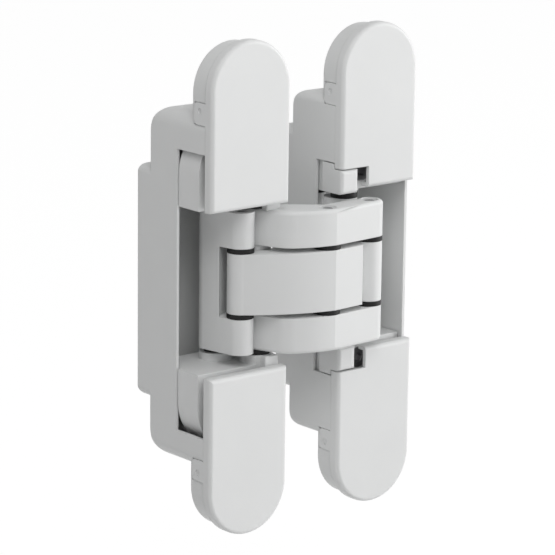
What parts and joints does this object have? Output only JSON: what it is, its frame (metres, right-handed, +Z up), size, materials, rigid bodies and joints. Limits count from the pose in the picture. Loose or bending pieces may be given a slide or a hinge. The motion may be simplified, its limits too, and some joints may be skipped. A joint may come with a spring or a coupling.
{
  "type": "concealed door hinge",
  "caption": "Concealed door hinge with two mortised leaves, crossed folding arms on washered pins and clip-on round-ended caps.",
  "frame": {"origin": "middle of the frame leaf's screw pattern, on the seat at the back of its flange, with the hinge open flat", "axes": "+X across from the frame leaf to the door leaf, +Y into the wood, +Z up along the pivots"},
  "size_m": [0.0631, 0.0345, 0.1208],
  "materials": {
    "cases": "satin",
    "caps": "satin",
    "arms": "satin",
    "pins": "satin",
    "screws": "satin",
    "washers": "matte"
  },
  "bodies": {
    "frame_leaf": {"frame_adjusting_screw_lower": "screws", "frame_adjusting_screw_upper": "screws", "frame_cap_lower": "caps", "frame_cap_upper": "caps", "frame_carrier_lower": "cases", "frame_carrier_upper": "cases", "frame_case": "cases", "frame_clamp_screw_lower": "screws", "frame_clamp_screw_upper": "screws", "frame_link_pin": "pins", "frame_link_washer_lower": "washers", "frame_link_washer_upper": "washers", "outer_arm_pin": "pins", "outer_arm_washer_lower": "washers", "outer_arm_washer_upper": "washers"},
    "outer_arm": {"outer_arm": "arms", "crossing_pin": "pins", "crossing_washer_lower": "washers", "crossing_washer_upper": "washers", "door_knuckle_pin": "pins", "door_knuckle_washer_lower": "washers", "door_knuckle_washer_upper": "washers"},
    "centre_arm": {"centre_arm": "arms"},
    "frame_link": {"frame_link": "arms", "frame_knuckle_pin": "pins", "frame_knuckle_washer_lower": "washers", "frame_knuckle_washer_upper": "washers"},
    "door_link": {"door_link": "arms", "door_link_pin": "pins", "door_link_washer_lower": "washers", "door_link_washer_upper": "washers"},
    "door_leaf": {"door_adjusting_screw_lower": "screws", "door_adjusting_screw_upper": "screws", "door_arm_pin": "pins", "door_arm_washer_lower": "washers", "door_arm_washer_upper": "washers", "door_cap_lower": "caps", "door_cap_upper": "caps", "door_carrier_lower": "cases", "door_carrier_upper": "cases", "door_case": "cases", "door_clamp_screw_lower": "screws", "door_clamp_screw_upper": "screws"}
  },
  "joints": [
    {"name": "outer_arm_pivot", "type": "hinge", "parent": "frame_leaf", "child": "outer_arm", "pos_m": [0.0088, 0.0007, 0.0008], "axis": [0, 0, 1], "range_deg": [-104.29, 0]},
    {"name": "centre_pivot", "type": "hinge", "parent": "outer_arm", "child": "centre_arm", "pos_m": [0.0216, -0.01005, 0.0008], "axis": [0, 0, 1], "range_deg": [0, 42.62]},
    {"name": "door_leaf_pivot", "type": "hinge", "parent": "centre_arm", "child": "door_leaf", "pos_m": [0.03275, -0.00285, 0.0008], "axis": [0, 0, 1], "range_deg": [-118.32, 0]},
    {"name": "frame_link_pivot", "type": "hinge", "parent": "centre_arm", "child": "frame_link", "pos_m": [0.00215, -0.0012, 0.0008], "axis": [0, 0, 1], "range_deg": [-53.02, 0]},
    {"name": "door_link_pivot", "type": "hinge", "parent": "outer_arm", "child": "door_link", "pos_m": [0.0356, -0.00905, 0.0008], "axis": [0, 0, 1], "range_deg": [-5.83, 0]}
  ],
  "couplings": [
    {"joint": "centre_pivot", "follows": "outer_arm_pivot", "ratio": -0.40857},
    {"joint": "door_leaf_pivot", "follows": "outer_arm_pivot", "ratio": 1.1345},
    {"joint": "frame_link_pivot", "follows": "outer_arm_pivot", "ratio": 0.50838},
    {"joint": "door_link_pivot", "follows": "outer_arm_pivot", "ratio": 0.055826}
  ]
}
